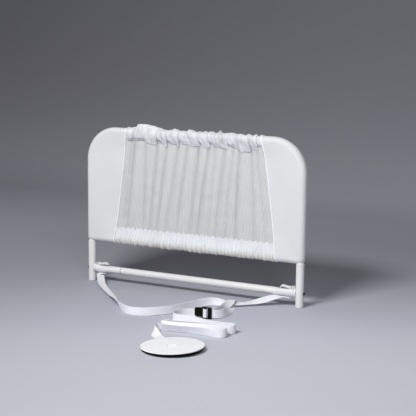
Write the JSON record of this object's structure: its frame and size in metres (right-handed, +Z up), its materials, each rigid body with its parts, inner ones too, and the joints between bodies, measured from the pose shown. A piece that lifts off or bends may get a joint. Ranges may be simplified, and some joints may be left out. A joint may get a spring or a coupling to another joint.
{
  "type": "folding bed guard rail",
  "caption": "Bed guard rail with two fabric-covered end frames and a gathered net curtain between them, on a telescoping cross tube with latching hinges, a webbing strap and an anchor disc.",
  "frame": {"origin": "middle of the rail on the surface that its two feet stand on", "axes": "+X along the rail, to the right as seen from the strap side; -Y towards the side where the straps and disc lie; +Z up"},
  "size_m": [0.7774, 0.6843, 0.5285],
  "materials": {
    "tube_paint": "white powder coat, satin",
    "hinge_plastic": "white moulded plastic",
    "pin_steel": "plain steel",
    "dark_bolt": "blackened steel",
    "white_fabric": "smooth woven fabric",
    "white_net": "fine net",
    "white_webbing": "flat woven webbing",
    "black_plastic": "black moulded plastic",
    "disc_plastic": "white moulded plastic",
    "pad_foam": "black closed-cell foam"
  },
  "bodies": {
    "root": {"outer_cross_tube": "tube_paint", "right_hinge_fitting": "hinge_plastic", "right_latch_pin": "pin_steel", "right_latch_spring": "pin_steel", "right_pivot_bolt": "dark_bolt", "right_strap_rivet": "pin_steel", "left_strap_rivet": "pin_steel", "bridle_strap": "white_webbing", "anchor_strap_loop": "white_webbing", "anchor_strap_bundle": "white_webbing", "anchor_strap_tail": "white_webbing", "strap_buckle": "black_plastic", "disc_plate": "disc_plastic", "disc_pad": "pad_foam"},
    "right_frame": {"right_frame_tube": "tube_paint", "right_lower_bar": "tube_paint", "right_leg_sleeve": "tube_paint", "right_foot_cap": "hinge_plastic", "right_leg_cuff": "hinge_plastic", "right_hinge_saddle": "hinge_plastic", "right_end_cover": "white_fabric", "right_edge_cord": "white_fabric", "top_casing": "white_fabric", "bottom_casing": "white_fabric", "mesh_curtain": "white_net"},
    "left_frame": {"left_frame_tube": "tube_paint", "left_lower_bar": "tube_paint", "left_leg_sleeve": "tube_paint", "left_foot_cap": "hinge_plastic", "left_leg_cuff": "hinge_plastic", "left_hinge_saddle": "hinge_plastic", "left_end_cover": "white_fabric", "left_edge_cord": "white_fabric"},
    "left_cross_tube": {"inner_cross_tube": "tube_paint", "left_hinge_fitting": "hinge_plastic", "left_latch_pin": "pin_steel", "left_latch_spring": "pin_steel", "left_pivot_bolt": "dark_bolt"},
    "right_latch": {"right_latch_lever": "hinge_plastic"},
    "left_latch": {"left_latch_lever": "hinge_plastic"}
  },
  "joints": [
    {"name": "swing", "type": "hinge", "parent": "root", "child": "right_frame", "pos_m": [0, 0, 0.043], "axis": [-1, 0, 0], "range_deg": [0, 180]},
    {"name": "telescope", "type": "slide", "parent": "right_frame", "child": "left_frame", "axis": [-1, 0, 0], "range_m": [0, 0.25]},
    {"name": "cross_telescope", "type": "slide", "parent": "root", "child": "left_cross_tube", "axis": [-1, 0, 0], "range_m": [0, 0.25]},
    {"name": "right_latch_tilt", "type": "hinge", "parent": "root", "child": "right_latch", "pos_m": [0.3475, 0, 0.0585], "axis": [0, -1, 0], "range_deg": [0, 12], "stiffness_Nm_per_rad": 0.3},
    {"name": "left_latch_tilt", "type": "hinge", "parent": "left_cross_tube", "child": "left_latch", "pos_m": [-0.3475, 0, 0.0585], "axis": [0, 1, 0], "range_deg": [0, 12], "stiffness_Nm_per_rad": 0.3}
  ],
  "couplings": [
    {"joint": "cross_telescope", "follows": "telescope", "ratio": 1}
  ]
}
